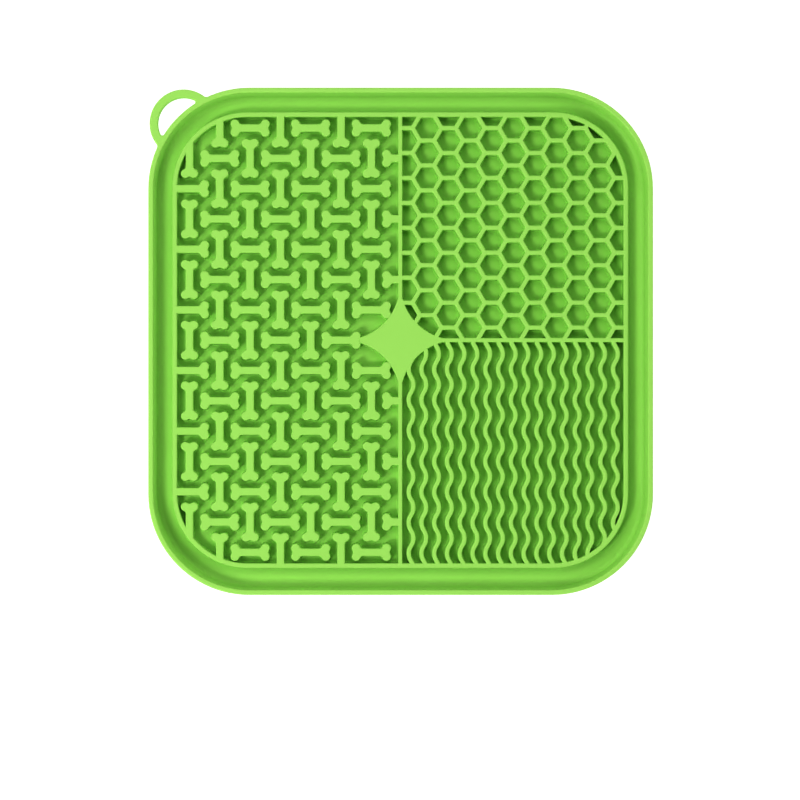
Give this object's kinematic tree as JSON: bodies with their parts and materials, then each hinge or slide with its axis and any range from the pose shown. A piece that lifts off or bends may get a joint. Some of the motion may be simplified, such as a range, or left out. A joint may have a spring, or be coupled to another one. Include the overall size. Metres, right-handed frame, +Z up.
{
  "type": "lick mat",
  "caption": "Square moulded silicone lick mat with rounded corners, a raised lip and gutter, a field of bones, honeycomb and wave ribs round a star, and a hanging loop.",
  "frame": {"origin": "middle of the flat underside, on the surface that the mat lies on", "axes": "+X to the right and +Y to the back as the mat lies with its loop at the back left, +Z up through the relief"},
  "size_m": [0.2, 0.201, 0.01],
  "materials": {
    "silicone": "lime green silicone rubber, moulded matt, with a soft sheen"
  },
  "bodies": {
    "root": {"lick_mat": "silicone"}
  },
  "joints": []
}
